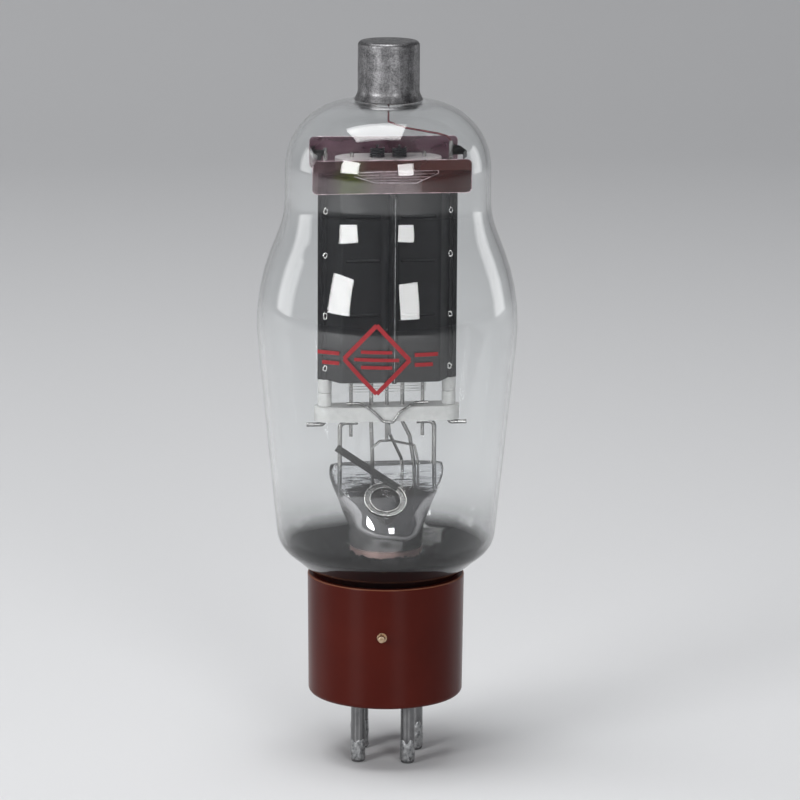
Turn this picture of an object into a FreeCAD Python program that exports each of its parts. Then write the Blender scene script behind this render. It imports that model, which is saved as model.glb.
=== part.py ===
import FreeCAD, Part
import math
import os
from FreeCAD import Vector

# Directly heated power triode: a shouldered glass bulb with an anode cap on its crown,
# a glass stem that carries the electrodes, and a four-pin bayonet base.
# Millimetres. Z runs up the tube's axis, and Z 0 is the plane of the pin tips.
# X runs along the electrodes' broad side, and -Y is the front.
# Names that end in ratio or ratios are shares of another size.

# General
cut_margin = 1.0
edge_tolerance = 0.01
hole_clearance = 0.05
weld_gap = 0.02

# Base
pin_length = 15.3
base_height = 27.6
base_radius_bottom = 17.35
base_flare = 0.25
base_wall = 1.5
base_floor = 3.0
base_edge_round = 1.1
base_rim_round = 0.35
base_bore_round = 1.0
base_recess_depth = 0.6
base_recess_inset = 2.95
cement_drop = 1.6

# Pins: two small ones at the front, two large ones at the back
pin_circle_radius = 8.13
small_pin_radius = 1.5875
large_pin_radius = 1.98
small_pin_chord = 11.2
large_pin_chord = 12.4
pin_wall = 0.35
pin_tip_round = 0.6
pin_shank_step = 0.25
pin_flange_width = 0.75
pin_flange_height = 0.5
pin_stub = 1.0
pin_turn_deg = 12.0
solder_height = 3.0
solder_inset = 0.05
solder_round = 0.3

# Bayonet pin
bayonet_radius = 0.8
bayonet_reach = 1.9
bayonet_tip_round = 0.28
bayonet_head_step = 0.3
bayonet_head_proud = 0.02
bayonet_height = 16.7
bayonet_turn_deg = 10.0

# Glass bulb
glass_wall = 1.1
neck_gap = 0.45
neck_depth = 5.9
neck_lip = 0.5
neck_round = 2.0
shoulder_radius = 22.8
shoulder_round = 20.0
bowl_bulge = 1.4
bowl_rise = 6.7
bowl_round = 7.0
belly_bulge = 7.1
belly_drop = 18.0
belly_round_ratio = 2.5
dome_height = 24.8
dome_round_ratio = 0.649
crown_gap = 15.3
crown_slope = 0.8
tip_radius = 3.4
tip_height = 7.0
tip_round = 1.2

# Stem: a flared tube whose top is pressed flat round the leads
stem_radius = 7.8
stem_flare_ratio = 0.7
stem_bore_rise = 5.0
press_foot = 7.3
press_height = 17.7
press_shoulder = 2.3
press_half_depth = 2.6
seal_depth = 6.9
exhaust_radius = 2.3
exhaust_wall = 0.8
exhaust_drop = 19.0
exhaust_tip_round = 1.6
exhaust_lip_round = 0.1

# Sections of the press from foot to top: height, width and depth as shares of the way
press_stage_ratios = ((0.25, 0.12, 0.92), (0.5, 0.5, 0.55), (0.72, 0.85, 0.18), (0.92, 1.0, 0.02),
                      (1.0, 0.93, 0.0))

# Cap
cap_radius = 6.82
cap_height = 12.95
cap_wall = 0.5
cap_round = 1.0
cap_skirt_round = 2.0
cap_flange_radius = 7.6
cap_flange_height = 1.6
cap_lift = 0.02
cement_gap = 0.15

# Lead from the cap to the right-hand anode rod: bends across and above the anode
cap_lead_radius = 0.5
cap_lead_bend = 1.2
cap_lead_ratios = (0.0, 0.287, 0.789, 1.0)
cap_lead_rises = (11.4, 9.6, 8.1, 7.2)

# Anode
mount_gap = 10.17
anode_height = 46.2
anode_flange = 1.6
anode_face_inset = 3.05
anode_face_depth = 5.2
anode_sheet = 0.3
anode_fin_depth = 12.7
anode_fin_half_gap = 0.36
anode_fin_root_round = 2.0
anode_fin_rise = 1.2
anode_fin_drop = 3.7
anode_fin_start = 1.2
anode_fin_half_room = 4.0
anode_face_bend = 1.0
flange_bend = 0.25
wrap_outer_bend = 0.35
wrap_inner_bend = 0.3
wrap_outer_ratio = 0.8
wrap_inner_ratio = 0.62
wrap_depth_ratio = 1.12
notch_depth = 2.1
notch_inset = 1.6
notch_floor_ratio = 0.44
rib_height_ratios = (0.327, 0.589, 0.805)
rib_start = 2.6
rib_inset = 1.3
rib_radius = 0.42
rib_hollow_ratio = 0.6
weld_height_ratios = (0.056, 0.31, 0.604, 0.818)
weld_radius = 0.62
weld_proud = 0.12

# Anode rods and grid rods
rod_radius = 0.475
rod_spacing_ratio = 0.61184
rod_top_rise_left = 5.6
rod_top_rise_right = 6.9
rod_foot_reach = 4.05
rod_foot_gap = 0.5
rod_bend = 0.9
grid_rod_radius = 0.4
grid_spacing_ratio = 0.57706
grid_rod_top_rise = 4.6
grid_rod_stub = 3.9

# Insulators
lower_bar_overhang = 2.35
lower_bar_half_depth = 3.1
lower_bar_thickness = 3.25
bush_radius = 1.55
bush_height = 3.04
bush_round = 0.25
bush_count = 2
upper_bar_overhang = 3.75
upper_bar_half_depth = 5.9
upper_bar_thickness = 2.4
upper_bar_gap = 1.1

# Mica
mica_sheet = 0.25
mica_corner = 1.1
shield_height = 7.35
front_shield_overhang = 3.45
front_shield_depth = 7.3
rear_shield_overhang = 2.9
rear_shield_depth = 8.0
rear_shield_lift = 3.4
spacer_overhang = 2.05
clip_width = 1.4
clip_sheet = 0.16
clip_reach = 1.6
clip_bow = 1.3
clip_run = 3.2
clip_bend = 2.5

# Grid winding
grid_overhang = 0.57
grid_run_inset = 0.85
grid_half_depth = 2.2
grid_wire_radius = 0.1
grid_pitch = 1.5
grid_drop = 3.2
grid_top_gap = 0.5

# Bridle: bends across, as shares of the grid rods' half spacing, and drops under the bar's top
bridle_radius = 0.31
bridle_overhang = 1.05
bridle_gap = 0.15
bridle_rise = 0.2
bridle_bend = 0.5
bridle_end_ratio = 0.795
bridle_bend_ratios = (-0.621, -0.373, -0.149, 0.124, 0.311, 0.596)
bridle_drops = (-0.41, 1.2, 3.15, 3.35, 1.0, -0.41)
grid_lead_radius = 0.35
grid_lead_gap = 0.1
grid_lead_side = 0.2
grid_lead_in = 0.3
grid_lead_fall = 2.2
grid_lead_rise = 1.0
grid_lead_bend = 1.2

# Filament with its hooks and springs
filament_radius = 0.2
filament_half_span = 3.5
filament_top_half_span = 2.45
filament_loop_half_width = 0.6
filament_foot_half_width = 0.45
filament_foot_rise = 0.2
filament_bend = 0.5
filament_top_bend = 0.4
filament_drop = 1.0
filament_top_gap = 0.1
hook_radius = 0.22
hook_offset = 0.45
hook_bend = 0.36
hook_return = 1.0
hook_clearance = 0.15
spring_radius = 1.45
spring_wire_radius = 0.24
spring_turns = 4
spring_steps_per_turn = 10
spring_height = 2.9
spring_recess = 0.6
spring_clearance = 0.1

# Leads, posts and supports on the stem
lead_radius = 0.45
lead_left_bend = 3.0
lead_left_drop = 1.5
lead_left_rise = 2.0
lead_right_bend = 1.0
lead_right_drops = (0.6, 4.0)
lead_right_side = 1.7
lead_right_rise = 0.6
post_radius = 0.4
support_radius = 0.5
support_overhang = 2.55
support_inset = 1.45
support_bend = 1.3
filament_seal_left = -3.2
filament_seal_inset = 1.7
grid_seal = 3.4

# Arched support of the centre post: bends across and under its level
link_radius = 0.27
link_bend = 0.6
link_rise = 5.2
link_foot_left = -3.4
link_foot_step = 0.8
link_foot_depth = 0.9
link_foot_rise = 1.0
link_bends = (-1.6, 0.9, 4.0, 6.2)
link_drops = (0.0, 0.0, 0.6, 1.0)
link_depth_ratios = (0.5, 0.0, 0.6, 1.0)
link_shoulder_drop = 1.5

# Wires inside the base
base_wire_radius = 0.35
base_wire_bend = 4.0
base_wire_straight = 13.2
base_wire_rise = 8.0

# Getter
getter_outer_radius = 4.72
getter_band = 1.4
getter_thickness = 0.6
getter_trough = 0.25
getter_wall = 0.25
getter_tilt_deg = 39.0
getter_forward = 7.6
getter_side = -1.2
getter_drop = 6.7
strap_width = 1.6
strap_sheet = 0.2
strap_overhang = 0.8
strap_rise = 4.1
strap_spot_deg = 42.0
strap_lift = 0.5

# Radii and widths worked out from the sizes above
base_radius_top = base_radius_bottom + base_flare
base_bore_radius = base_radius_bottom - base_wall
base_recess_radius = base_radius_bottom - base_recess_inset
base_radius_at_bayonet = base_radius_bottom + base_flare * bayonet_height / base_height
bayonet_end = base_radius_bottom + bayonet_reach
neck_radius = base_bore_radius - neck_gap
bowl_radius = shoulder_radius + bowl_bulge
belly_radius = shoulder_radius + belly_bulge
stem_flare_round = (neck_radius - stem_radius) * stem_flare_ratio
rod_half_spacing = shoulder_radius * rod_spacing_ratio
grid_rod_half_spacing = rod_half_spacing * grid_spacing_ratio
anode_half_width = rod_half_spacing + anode_flange
anode_face_half_width = rod_half_spacing - anode_face_inset
support_half_spacing = grid_rod_half_spacing + support_overhang
support_depth = grid_rod_radius + support_radius
press_half_width = support_half_spacing + press_shoulder
filament_seal_right = stem_radius - filament_seal_inset
link_foot_right = filament_seal_right + link_foot_step
spring_seat_radius = spring_radius + spring_wire_radius + spring_clearance
bridle_depth = lower_bar_half_depth + bridle_radius + bridle_gap
front_shield_back = front_shield_depth - mica_sheet / 2
rear_shield_front = rear_shield_depth - mica_sheet / 2

# Heights worked out from the sizes above
base_bottom = pin_length
base_top = base_bottom + base_height
floor_top = base_bottom + base_floor
neck_bottom = base_top - neck_depth
press_bottom = base_top + press_foot
press_top = press_bottom + press_height
seal_level = press_top - seal_depth
stem_bore_top = press_bottom + stem_bore_rise
link_level = press_top + link_rise
bar_bottom = press_top + mount_gap
bar_top = bar_bottom + lower_bar_thickness
anode_low = bar_top + bush_count * bush_height
anode_top = anode_low + anode_height
upper_bar_bottom = anode_top + upper_bar_gap
upper_bar_top = upper_bar_bottom + upper_bar_thickness
spring_seat_level = upper_bar_top - spring_recess
spacer_top = upper_bar_top + mica_sheet
front_shield_bottom = spacer_top - shield_height
rear_shield_bottom = front_shield_bottom + rear_shield_lift
filament_bottom = anode_low - filament_drop
filament_top = anode_top + filament_top_gap
crown_level = anode_top + crown_gap
shoulder_level = crown_level - dome_height
belly_level = shoulder_level - belly_drop
tip_top = crown_level + crown_slope + tip_height
cap_seat_share = (shoulder_radius - cap_flange_radius + cap_wall) / (shoulder_radius - tip_radius)
cap_skirt_dip = cap_wall * (cap_flange_radius - cap_radius) / cap_flange_height
cap_bottom = crown_level + crown_slope * cap_seat_share + cap_skirt_dip + cap_lift
cap_top = cap_bottom + cap_height


def unit(vector):
    return vector * (1.0 / vector.Length)


def rounded_path(points, radii):
    """Edges of an open path, with each inner corner rounded by its own radius."""
    edges = []
    start = points[0]
    for before, corner, after, radius in zip(points, points[1:], points[2:], radii):
        back = unit(before - corner)
        ahead = unit(after - corner)
        half_angle = back.getAngle(ahead) / 2
        setback = radius / math.tan(half_angle)
        first = corner + back * setback
        last = corner + ahead * setback
        middle = corner + unit(back + ahead) * (radius / math.sin(half_angle) - radius)
        edges.append(Part.LineSegment(start, first).toShape())
        edges.append(Part.Arc(first, middle, last).toShape())
        start = last
    edges.append(Part.LineSegment(start, points[-1]).toShape())
    return edges


def side_step(start, end):
    """Unit step to the left of a flat run."""
    length = math.hypot(end[0] - start[0], end[1] - start[1])
    return (-(end[1] - start[1]) / length, (end[0] - start[0]) / length)


def offset_path(points, radii, distance):
    """The same flat path moved to its left, with radii that keep the corners concentric."""
    steps = [side_step(a, b) for a, b in zip(points, points[1:])]
    moved = [(points[0][0] + steps[0][0] * distance, points[0][1] + steps[0][1] * distance)]
    new_radii = []
    for point, one, two, radius in zip(points[1:], steps, steps[1:], radii):
        share = 1 + one[0] * two[0] + one[1] * two[1]
        moved.append((point[0] + (one[0] + two[0]) / share * distance,
                      point[1] + (one[1] + two[1]) / share * distance))
        turns_left = one[0] * two[1] - one[1] * two[0] > 0
        new_radii.append(radius - distance if turns_left else radius + distance)
    moved.append((points[-1][0] + steps[-1][0] * distance, points[-1][1] + steps[-1][1] * distance))
    return moved, new_radii


def strip_face(points, radii, left, right, place):
    """Face between two offsets of a flat path; place turns a flat point into a vector."""
    side_a, radii_a = offset_path(points, radii, left)
    side_b, radii_b = offset_path(points, radii, right)
    path_a = [place(*p) for p in side_a]
    path_b = [place(*p) for p in reversed(side_b)]
    edges = rounded_path(path_a, radii_a)
    edges.append(Part.LineSegment(path_a[-1], path_b[0]).toShape())
    edges += rounded_path(path_b, list(reversed(radii_b)))
    edges.append(Part.LineSegment(path_b[-1], path_a[0]).toShape())
    return Part.Face(Part.Wire(edges))


def upright(radius, height):
    return Vector(radius, 0, height)


def flat(x, y):
    return Vector(x, y, 0)


def turned(face):
    """Solid of revolution about the tube's axis."""
    return face.revolve(Vector(0, 0, 0), Vector(0, 0, 1), 360)


def turned_outline(points, radii):
    """Turned solid of a closed outline that starts and ends on the axis."""
    path = [upright(*p) for p in points]
    edges = rounded_path(path, radii)
    edges.append(Part.LineSegment(path[-1], path[0]).toShape())
    return turned(Part.Face(Part.Wire(edges)))


def rod(radius, bottom, top, x=0.0, y=0.0):
    return Part.makeCylinder(radius, top - bottom, Vector(x, y, bottom))


def bent_wire(points, bend, radius):
    """Round wire along a path with equal bends."""
    path = Part.Wire(rounded_path(points, [bend] * (len(points) - 2)))
    section = Part.Wire(Part.Circle(points[0], points[1] - points[0], radius).toShape())
    return path.makePipeShell([section], True, False)


def square_wire(points, radius):
    """Thin wire with four flats along a path of straight runs."""
    direction = unit(points[1] - points[0])
    across = unit(direction.cross(Vector(0, 0, 1)))
    up = across.cross(direction)
    corners = [points[0] + (across * a + up * b) * radius for a, b in ((1, 1), (-1, 1), (-1, -1), (1, -1))]
    section = Part.makePolygon(corners + corners[:1])
    path = Part.makePolygon(points)
    return path.makePipeShell([section], True, False, 1)


def stadium(half_length, half_depth, thickness, bottom):
    """Upright-sided bar with half-round ends."""
    run = half_length - half_depth
    right = Vector(run, half_depth, bottom)
    right_low = Vector(run, -half_depth, bottom)
    left = Vector(-run, half_depth, bottom)
    left_low = Vector(-run, -half_depth, bottom)
    edges = [
        Part.LineSegment(left_low, right_low).toShape(),
        Part.Arc(right_low, Vector(half_length, 0, bottom), right).toShape(),
        Part.LineSegment(right, left).toShape(),
        Part.Arc(left, Vector(-half_length, 0, bottom), left_low).toShape(),
    ]
    return Part.Face(Part.Wire(edges)).extrude(Vector(0, 0, thickness))


def front_direction(turn_deg):
    """Level unit vector that points to the front, turned towards -X."""
    turn = math.radians(turn_deg)
    return Vector(-math.sin(turn), -math.cos(turn), 0)


def pin_places():
    """Name, centre and radius of each base pin, seen from the front."""
    half_small = math.degrees(math.asin(small_pin_chord / 2 / pin_circle_radius))
    half_large = math.degrees(math.asin(large_pin_chord / 2 / pin_circle_radius))
    turns = {
        "front_left": (pin_turn_deg + half_small, small_pin_radius),
        "front_right": (pin_turn_deg - half_small, small_pin_radius),
        "rear_right": (pin_turn_deg - 180 + half_large, large_pin_radius),
        "rear_left": (pin_turn_deg + 180 - half_large, large_pin_radius),
    }
    return {name: (front_direction(turn) * pin_circle_radius, radius)
            for name, (turn, radius) in turns.items()}


def base_shell():
    outline = [
        (0, base_bottom), (base_radius_bottom, base_bottom), (base_radius_top, base_top),
        (base_bore_radius, base_top), (base_bore_radius, floor_top), (0, floor_top),
    ]
    shell = turned_outline(outline, [base_edge_round, base_rim_round, base_rim_round, base_bore_round])
    below = base_bottom - cut_margin
    shell = shell.cut(rod(base_recess_radius, below, base_bottom + base_recess_depth))
    for centre, radius in pin_places().values():
        shell = shell.cut(rod(radius + pin_shank_step, below, floor_top + cut_margin, centre.x, centre.y))
    return shell.cut(bayonet_stock(cut_margin))


def bayonet_stock(extra):
    """Stepped pin along the bayonet's line, with its thick head in the shell's wall."""
    out = front_direction(bayonet_turn_deg)
    start = out * base_bore_radius + Vector(0, 0, base_bottom + bayonet_height)
    head_length = base_radius_at_bayonet + bayonet_head_proud - base_bore_radius
    head = Part.makeCylinder(bayonet_radius + bayonet_head_step, head_length + extra,
                             start - out * extra, out)
    pin = Part.makeCylinder(bayonet_radius, bayonet_end - base_bore_radius, start, out)
    return head.fuse(pin).removeSplitter()


def bayonet_pin():
    out = front_direction(bayonet_turn_deg)
    pin = bayonet_stock(0)
    tip = [edge for edge in pin.Edges if edge.CenterOfMass.dot(out) > bayonet_end - edge_tolerance]
    return pin.makeFillet(bayonet_tip_round, tip)


def base_pin(centre, radius):
    """Hollow pin with a rounded, open tip and a collar on the base's floor."""
    top = floor_top + pin_stub
    pin = rod(radius, 0, top)
    tip = [edge for edge in pin.Edges if edge.BoundBox.ZMax < edge_tolerance]
    pin = pin.makeFillet(pin_tip_round, tip)
    shank = rod(radius + pin_shank_step, base_bottom + base_recess_depth, floor_top)
    collar = rod(radius + pin_flange_width, floor_top, floor_top + pin_flange_height)
    bore = rod(radius - pin_wall, -cut_margin, top + cut_margin)
    pin = pin.fuse([shank, collar]).cut(bore).removeSplitter()
    pin.translate(centre)
    return pin


def pin_solder(centre, radius):
    """Solder that closes a pin's bore."""
    plug = rod(radius - pin_wall, solder_inset, solder_height)
    rim = [edge for edge in plug.Edges if edge.BoundBox.ZMax < solder_inset + edge_tolerance]
    plug = plug.makeFillet(solder_round, rim)
    plug.translate(centre)
    return plug


def base_cement():
    return rod(base_bore_radius, neck_bottom, base_top - cement_drop).cut(
        rod(neck_radius, neck_bottom - cut_margin, base_top))


def bulb_path():
    points = [
        (neck_radius, neck_bottom),
        (neck_radius, base_top - neck_lip),
        (bowl_radius, base_top + bowl_rise),
        (belly_radius, belly_level),
        (shoulder_radius, shoulder_level),
        (shoulder_radius, crown_level),
        (tip_radius, crown_level + crown_slope),
        (tip_radius, tip_top),
        (cap_lead_radius, tip_top),
    ]
    radii = [neck_round, bowl_round, belly_drop * belly_round_ratio, shoulder_round,
             shoulder_radius * dome_round_ratio, tip_round, tip_round]
    return points, radii


def glass_bulb():
    points, radii = bulb_path()
    return turned(strip_face(points, radii, 0, glass_wall, upright))


def press_section(height, half_width, half_depth):
    ellipse = Part.Ellipse(Vector(0, 0, height), half_width, half_depth)
    return Part.Wire(ellipse.toShape())


def sealed_leads():
    """Place and radius of each wire that stands in the top of the press."""
    return [
        (filament_seal_left, 0, lead_radius),
        (filament_seal_right, 0, lead_radius),
        (grid_seal, 0, grid_lead_radius),
        (link_foot_left, -link_foot_depth, link_radius),
        (link_foot_right, -link_foot_depth, link_radius),
        (-support_half_spacing, -support_depth, support_radius),
        (support_half_spacing, -support_depth, support_radius),
    ]


def glass_stem():
    """Flared tube with a flat press at its top, sealed round the wires."""
    path = [(stem_radius, press_bottom), (stem_radius, neck_bottom), (neck_radius, neck_bottom)]
    flare = turned(strip_face(path, [stem_flare_round], 0, -glass_wall, upright))
    foot = Part.Circle(Vector(0, 0, press_bottom), Vector(0, 0, 1), stem_radius)
    sections = [Part.Wire(foot.toShape())]
    for rise, spread, depth in press_stage_ratios:
        half_width = stem_radius + (press_half_width - stem_radius) * spread
        half_depth = press_half_depth + (stem_radius - press_half_depth) * depth
        sections.append(press_section(press_bottom + press_height * rise, half_width, half_depth))
    press = Part.makeLoft(sections, True, False)
    press = press.cut(Part.makeCone(stem_radius - glass_wall, exhaust_radius, stem_bore_rise,
                                    Vector(0, 0, press_bottom)))
    for x, y, radius in sealed_leads():
        press = press.cut(rod(radius, seal_level, press_top + cut_margin, x, y))
    for x in (filament_seal_left, filament_seal_right, grid_seal):
        press = press.cut(rod(base_wire_radius, press_bottom - cut_margin, seal_level, x))
    return flare.fuse(press).removeSplitter()


def exhaust_tube():
    """Pumping tube under the press, drawn off to a closed tip."""
    bottom = press_bottom - exhaust_drop
    bore = exhaust_radius - exhaust_wall
    floor = bottom + 2 * exhaust_wall
    outline = [(0, bottom), (exhaust_radius, bottom), (exhaust_radius, stem_bore_top),
               (bore, stem_bore_top), (bore, floor), (0, floor)]
    return turned_outline(outline, [exhaust_tip_round, exhaust_lip_round, exhaust_lip_round,
                                    exhaust_tip_round - exhaust_wall])


def top_cap():
    """Drawn cap with a flared skirt."""
    points = [(cap_flange_radius, cap_bottom), (cap_radius, cap_bottom + cap_flange_height),
              (cap_radius, cap_top), (0, cap_top)]
    return turned(strip_face(points, [cap_skirt_round, cap_round], 0, cap_wall, upright))


def cap_cement():
    """Cement between the glass tip and the cap."""
    low = crown_level + crown_slope + tip_round + cement_gap
    filling = rod(cap_radius - cap_wall, low, tip_top - tip_round)
    return filling.cut(rod(tip_radius, low - cut_margin, tip_top))


def cap_lead():
    """Wire from the cap, through the crown, over to the right-hand anode rod."""
    points = [Vector(0, 0, cap_top - cap_wall)]
    points += [Vector(rod_half_spacing * share, 0, anode_top + rise)
               for share, rise in zip(cap_lead_ratios, cap_lead_rises)]
    points += [Vector(rod_half_spacing, 0, anode_top + rod_top_rise_right)]
    return bent_wire(points, cap_lead_bend, cap_lead_radius)


def anode_half_path():
    """Middle line of the front half, from its right edge to its left edge."""
    seam = anode_sheet / 2 + weld_gap
    hug = rod_radius + anode_sheet / 2 + weld_gap
    wrap_depth = hug * wrap_depth_ratio
    right = [
        (anode_half_width, -seam),
        (rod_half_spacing + hug, -seam),
        (rod_half_spacing + hug * wrap_outer_ratio, -wrap_depth),
        (rod_half_spacing - hug * wrap_inner_ratio, -wrap_depth),
        (anode_face_half_width, -anode_face_depth),
        (anode_fin_half_gap, -anode_face_depth),
        (anode_fin_half_gap, -anode_fin_depth),
    ]
    radii = [flange_bend, wrap_outer_bend, wrap_inner_bend, anode_face_bend, anode_fin_root_round,
             anode_fin_half_gap - edge_tolerance]
    left = [(-x, y) for x, y in reversed(right)]
    return right + left, radii + list(reversed(radii))


def rib_places():
    """Side and level of each pressed rib."""
    return [(side, anode_low + anode_height * share) for share in rib_height_ratios for side in (-1, 1)]


def anode_ribs():
    """Half-round ridges pressed out of the two flat faces."""
    length = anode_face_half_width - rib_inset - rib_start
    ribs = []
    for side, level in rib_places():
        start = Vector(side * rib_start, -anode_face_depth, level)
        rib = Part.makeCylinder(rib_radius, length, start, Vector(side, 0, 0))
        end = start + Vector(side * length, 0, 0)
        ribs.append(rib.fuse([Part.makeSphere(rib_radius, start), Part.makeSphere(rib_radius, end)]))
    return ribs


def rib_hollows():
    """The grooves that the press leaves behind the ridges."""
    length = anode_face_half_width - rib_inset - rib_start
    depth = anode_face_depth - anode_sheet / 2 * rib_hollow_ratio
    radius = rib_radius - anode_sheet * rib_hollow_ratio
    return [Part.makeCylinder(radius, length, Vector(side * rib_start, -depth, level), Vector(side, 0, 0))
            for side, level in rib_places()]


def weld_marks():
    """Raised rings where the halves are welded to the rods."""
    face = rod_radius + anode_sheet + weld_gap
    marks = []
    for share in weld_height_ratios:
        for side in (-1, 1):
            x = side * rod_half_spacing
            level = anode_low + anode_height * share
            front = Vector(x, -face - weld_proud, level)
            mark = Part.makeCylinder(weld_radius, face, front, Vector(0, 1, 0))
            room = rod(rod_radius + weld_gap, level - 2 * weld_radius, level + 2 * weld_radius, x)
            marks.append(mark.cut(room))
    return marks


def anode_front():
    """Folded sheet: flanges round the rods, slanted sides, flat faces and a hairpin fin."""
    points, radii = anode_half_path()
    half = anode_sheet / 2
    sheet = strip_face(points, radii, half, -half, flat).extrude(Vector(0, 0, anode_height))
    sheet.translate(Vector(0, 0, anode_low))
    behind = Part.makeBox(2 * anode_half_width, anode_face_depth, anode_height,
                          Vector(-anode_half_width, half - anode_face_depth, anode_low))
    sheet = sheet.fuse([rib.cut(behind) for rib in anode_ribs()] + weld_marks())
    sheet = sheet.cut(Part.makeCompound(rib_hollows()))
    reach = anode_fin_depth + 2 * cut_margin
    room = reach - anode_face_depth - anode_fin_start
    width = 2 * anode_fin_half_room
    above = Part.makeBox(width, room, anode_fin_drop + cut_margin,
                         Vector(-anode_fin_half_room, -reach, anode_top - anode_fin_drop))
    below = Part.makeBox(width, room, anode_fin_rise + cut_margin,
                         Vector(-anode_fin_half_room, -reach, anode_low - cut_margin))
    return sheet.cut([above, below, anode_notch(reach)]).removeSplitter()


def anode_notch(reach):
    """Stock of the shallow notch in the upper edge, open to the top."""
    top_half = anode_face_half_width - notch_inset
    floor_half = anode_face_half_width * notch_floor_ratio
    floor = anode_top - notch_depth
    above = anode_top + cut_margin
    corners = [(-floor_half, floor), (floor_half, floor), (top_half, anode_top), (top_half, above),
               (-top_half, above), (-top_half, anode_top)]
    outline = [Vector(x, -reach, z) for x, z in corners]
    face = Part.Face(Part.makePolygon(outline + outline[:1]))
    return face.extrude(Vector(0, reach - cut_margin, 0))


def anode_back(front):
    return front.mirror(Vector(0, 0, 0), Vector(0, 1, 0))


def anode_rod(side, top_rise):
    """Upright rod whose foot is bent outwards under the lower bar."""
    x = side * rod_half_spacing
    foot = bar_bottom - rod_radius - rod_foot_gap
    end = x + side * rod_foot_reach
    points = [Vector(x, 0, anode_top + top_rise), Vector(x, 0, foot), Vector(end, 0, foot)]
    return bent_wire(points, rod_bend, rod_radius)


def drilled(body, places, bottom, top):
    for x, y, radius in places:
        body = body.cut(rod(radius, bottom - cut_margin, top + cut_margin, x, y))
    return body


def lower_insulator():
    half_length = rod_half_spacing + lower_bar_overhang
    bar = stadium(half_length, lower_bar_half_depth, lower_bar_thickness, bar_bottom)
    places = [(side * rod_half_spacing, 0, rod_radius + hole_clearance) for side in (-1, 1)]
    places += [(side * grid_rod_half_spacing, 0, grid_rod_radius + hole_clearance) for side in (-1, 1)]
    places += [(side * filament_half_span, 0, lead_radius + hole_clearance) for side in (-1, 1)]
    places += [(0, 0, post_radius + hole_clearance)]
    return drilled(bar, places, bar_bottom, bar_top)


def bush(side, index):
    bottom = bar_top + index * bush_height
    x = side * rod_half_spacing
    tube = rod(bush_radius, bottom, bottom + bush_height, x)
    rims = [edge for edge in tube.Edges if edge.BoundBox.ZLength < edge_tolerance]
    tube = tube.makeFillet(bush_round, rims)
    return drilled(tube, [(x, 0, rod_radius + hole_clearance)], bottom, bottom + bush_height)


def upper_insulator():
    """Bar over the anode, with a seat for each filament spring."""
    half_length = grid_rod_half_spacing + upper_bar_overhang
    bar = stadium(half_length, upper_bar_half_depth, upper_bar_thickness, upper_bar_bottom)
    places = [(side * grid_rod_half_spacing, 0, grid_rod_radius + hole_clearance) for side in (-1, 1)]
    hook_hole = hook_radius + hook_clearance
    places += [(side * filament_top_half_span, hook_offset, hook_hole) for side in (-1, 1)]
    bar = drilled(bar, places, upper_bar_bottom, upper_bar_top)
    for side in (-1, 1):
        bar = bar.cut(rod(spring_seat_radius, spring_seat_level, upper_bar_top + cut_margin,
                          side * filament_top_half_span))
    return bar


def mica_spacer():
    """Level mica plate on the upper bar, held by the anode rods."""
    half_length = rod_half_spacing + spacer_overhang
    plate = Part.makeBox(2 * half_length, rear_shield_front + front_shield_back, mica_sheet,
                         Vector(-half_length, -front_shield_back, upper_bar_top))
    places = []
    for side in (-1, 1):
        places.append((side * rod_half_spacing, 0, rod_radius + hole_clearance))
        places.append((side * grid_rod_half_spacing, 0, grid_rod_radius + hole_clearance))
        places.append((side * filament_top_half_span, 0, spring_seat_radius))
    return drilled(plate, places, upper_bar_top, spacer_top)


def mica_shield(y, half_width, bottom):
    """Upright mica strip with rounded corners."""
    plate = Part.makeBox(2 * half_width, mica_sheet, shield_height,
                         Vector(-half_width, y - mica_sheet / 2, bottom))
    corners = [edge for edge in plate.Edges
               if edge.BoundBox.XLength < edge_tolerance and edge.BoundBox.ZLength < edge_tolerance]
    return plate.makeFillet(mica_corner, corners)


def mica_clip(side):
    """Sprung ribbon between the two shields, with a tab welded to the rod."""
    half = clip_sheet / 2
    front = -front_shield_back + half
    back = rear_shield_front - half
    x_end = side * (rod_half_spacing + clip_reach)
    x_bow = side * (rod_half_spacing + clip_reach + clip_bow)
    points = [(x_end, front), (x_bow, front + clip_run), (x_bow, back - clip_run), (x_end, back)]
    ribbon = strip_face(points, [clip_bend, clip_bend], half, -half, flat)
    ribbon = ribbon.extrude(Vector(0, 0, clip_width))
    x_rod = side * (rod_half_spacing + rod_radius)
    tab = Part.makeBox(abs(x_bow - x_rod), clip_sheet, clip_width, Vector(min(x_bow, x_rod), -half, 0))
    clip = ribbon.fuse(tab).removeSplitter()
    clip.translate(Vector(0, 0, spacer_top))
    return clip


def grid_rod(side):
    return rod(grid_rod_radius, bar_bottom - grid_rod_stub, anode_top + grid_rod_top_rise,
               side * grid_rod_half_spacing)


def grid_winding():
    """One wire wound as a flattened helix round the two grid rods."""
    hug = grid_rod_radius + grid_wire_radius
    outer = grid_rod_half_spacing + grid_overhang
    run = grid_rod_half_spacing - grid_run_inset
    ring = [(outer, -hug), (run, -grid_half_depth), (-run, -grid_half_depth), (-outer, -hug),
            (-outer, hug), (-run, grid_half_depth), (run, grid_half_depth), (outer, hug)]
    bottom = anode_low - grid_drop
    turns = int((upper_bar_bottom - grid_top_gap - bottom) / grid_pitch)
    points = []
    for step in range(turns * len(ring) + 1):
        x, y = ring[step % len(ring)]
        points.append(Vector(x, y, bottom + grid_pitch * step / len(ring)))
    return square_wire(points, grid_wire_radius)


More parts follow.
